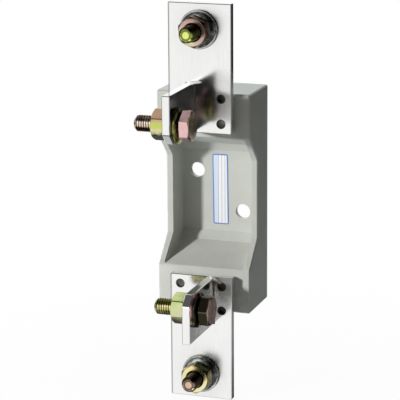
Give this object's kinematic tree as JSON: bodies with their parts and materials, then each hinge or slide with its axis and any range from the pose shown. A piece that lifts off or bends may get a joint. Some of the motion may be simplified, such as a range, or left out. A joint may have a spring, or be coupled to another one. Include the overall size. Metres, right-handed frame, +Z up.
{
  "type": "fuse base for bolted fuse links",
  "caption": "Upright insulating fuse base with a recessed middle, flat terminal bars, perpendicular contact blades with clamping bolts, and terminal studs.",
  "frame": {"origin": "middle of the back face, on the panel's surface", "axes": "+Z up along the base, +Y into the panel, the fuse side faces -Y, +X to the right seen from the front"},
  "size_m": [0.06, 0.087, 0.2488],
  "materials": {
    "moulding": "moulded glass-filled polyester, satin, light warm grey",
    "plated_copper": "copper bar with bright tin plate",
    "yellow_zinc": "steel, zinc plated, yellow chromate with pink and green tints",
    "bright_steel": "steel, bright zinc plated",
    "screw_steel": "steel, zinc plated, dull"
  },
  "bodies": {
    "root": {"insulating_base": "moulding", "upper_terminal_plate": "plated_copper", "lower_terminal_plate": "plated_copper", "upper_contact_blade": "plated_copper", "lower_contact_blade": "plated_copper", "plate_screws": "screw_steel", "terminal_bolts": "yellow_zinc", "upper_fuse_nut": "yellow_zinc", "lower_fuse_washer": "yellow_zinc", "lower_fuse_spring_washer": "yellow_zinc"},
    "upper_fuse_clamp": {"upper_fuse_washer": "yellow_zinc", "upper_fuse_spring_washer": "yellow_zinc"},
    "upper_fuse_screw": {"upper_fuse_bolt": "yellow_zinc"},
    "lower_fuse_screw": {"lower_fuse_bolt": "yellow_zinc"},
    "lower_fuse_clamp": {"lower_fuse_nut": "yellow_zinc"},
    "upper_terminal_clamp": {"upper_terminal_washer": "bright_steel", "upper_terminal_spring_washer": "bright_steel"},
    "upper_terminal_turning_nut": {"upper_terminal_nut": "yellow_zinc"},
    "lower_terminal_clamp": {"lower_terminal_washer": "bright_steel", "lower_terminal_spring_washer": "bright_steel"},
    "lower_terminal_turning_nut": {"lower_terminal_nut": "yellow_zinc"}
  },
  "joints": [
    {"name": "upper_fuse_clamp_slide", "type": "slide", "parent": "root", "child": "upper_fuse_clamp", "axis": [1, 0, 0], "range_m": [0, 0.008]},
    {"name": "upper_fuse_bolt_turn", "type": "hinge", "parent": "upper_fuse_clamp", "child": "upper_fuse_screw", "pos_m": [0, -0.0755, 0.0563], "axis": [1, 0, 0], "range_deg": [0, 1920.01]},
    {"name": "lower_fuse_bolt_turn", "type": "hinge", "parent": "root", "child": "lower_fuse_screw", "pos_m": [0, -0.0755, -0.0563], "axis": [1, 0, 0], "range_deg": [0, 1920.01]},
    {"name": "lower_fuse_nut_slide", "type": "slide", "parent": "root", "child": "lower_fuse_clamp", "axis": [-1, 0, 0], "range_m": [0, 0.008]},
    {"name": "upper_terminal_clamp_slide", "type": "slide", "parent": "root", "child": "upper_terminal_clamp", "axis": [0, -1, 0], "range_m": [0, 0.011]},
    {"name": "upper_terminal_nut_turn", "type": "hinge", "parent": "upper_terminal_clamp", "child": "upper_terminal_turning_nut", "pos_m": [0, 0, 0.1086], "axis": [0, -1, 0], "range_deg": [0, 2640.01]},
    {"name": "lower_terminal_clamp_slide", "type": "slide", "parent": "root", "child": "lower_terminal_clamp", "axis": [0, -1, 0], "range_m": [0, 0.011]},
    {"name": "lower_terminal_nut_turn", "type": "hinge", "parent": "lower_terminal_clamp", "child": "lower_terminal_turning_nut", "pos_m": [0, 0, -0.1086], "axis": [0, -1, 0], "range_deg": [0, 2640.01]}
  ],
  "couplings": [
    {"joint": "upper_fuse_bolt_turn", "follows": "upper_fuse_clamp_slide", "rad_per_m": 4188.8},
    {"joint": "lower_fuse_bolt_turn", "follows": "lower_fuse_nut_slide", "rad_per_m": 4188.8},
    {"joint": "upper_terminal_nut_turn", "follows": "upper_terminal_clamp_slide", "rad_per_m": 4188.8},
    {"joint": "lower_terminal_nut_turn", "follows": "lower_terminal_clamp_slide", "rad_per_m": 4188.8}
  ]
}
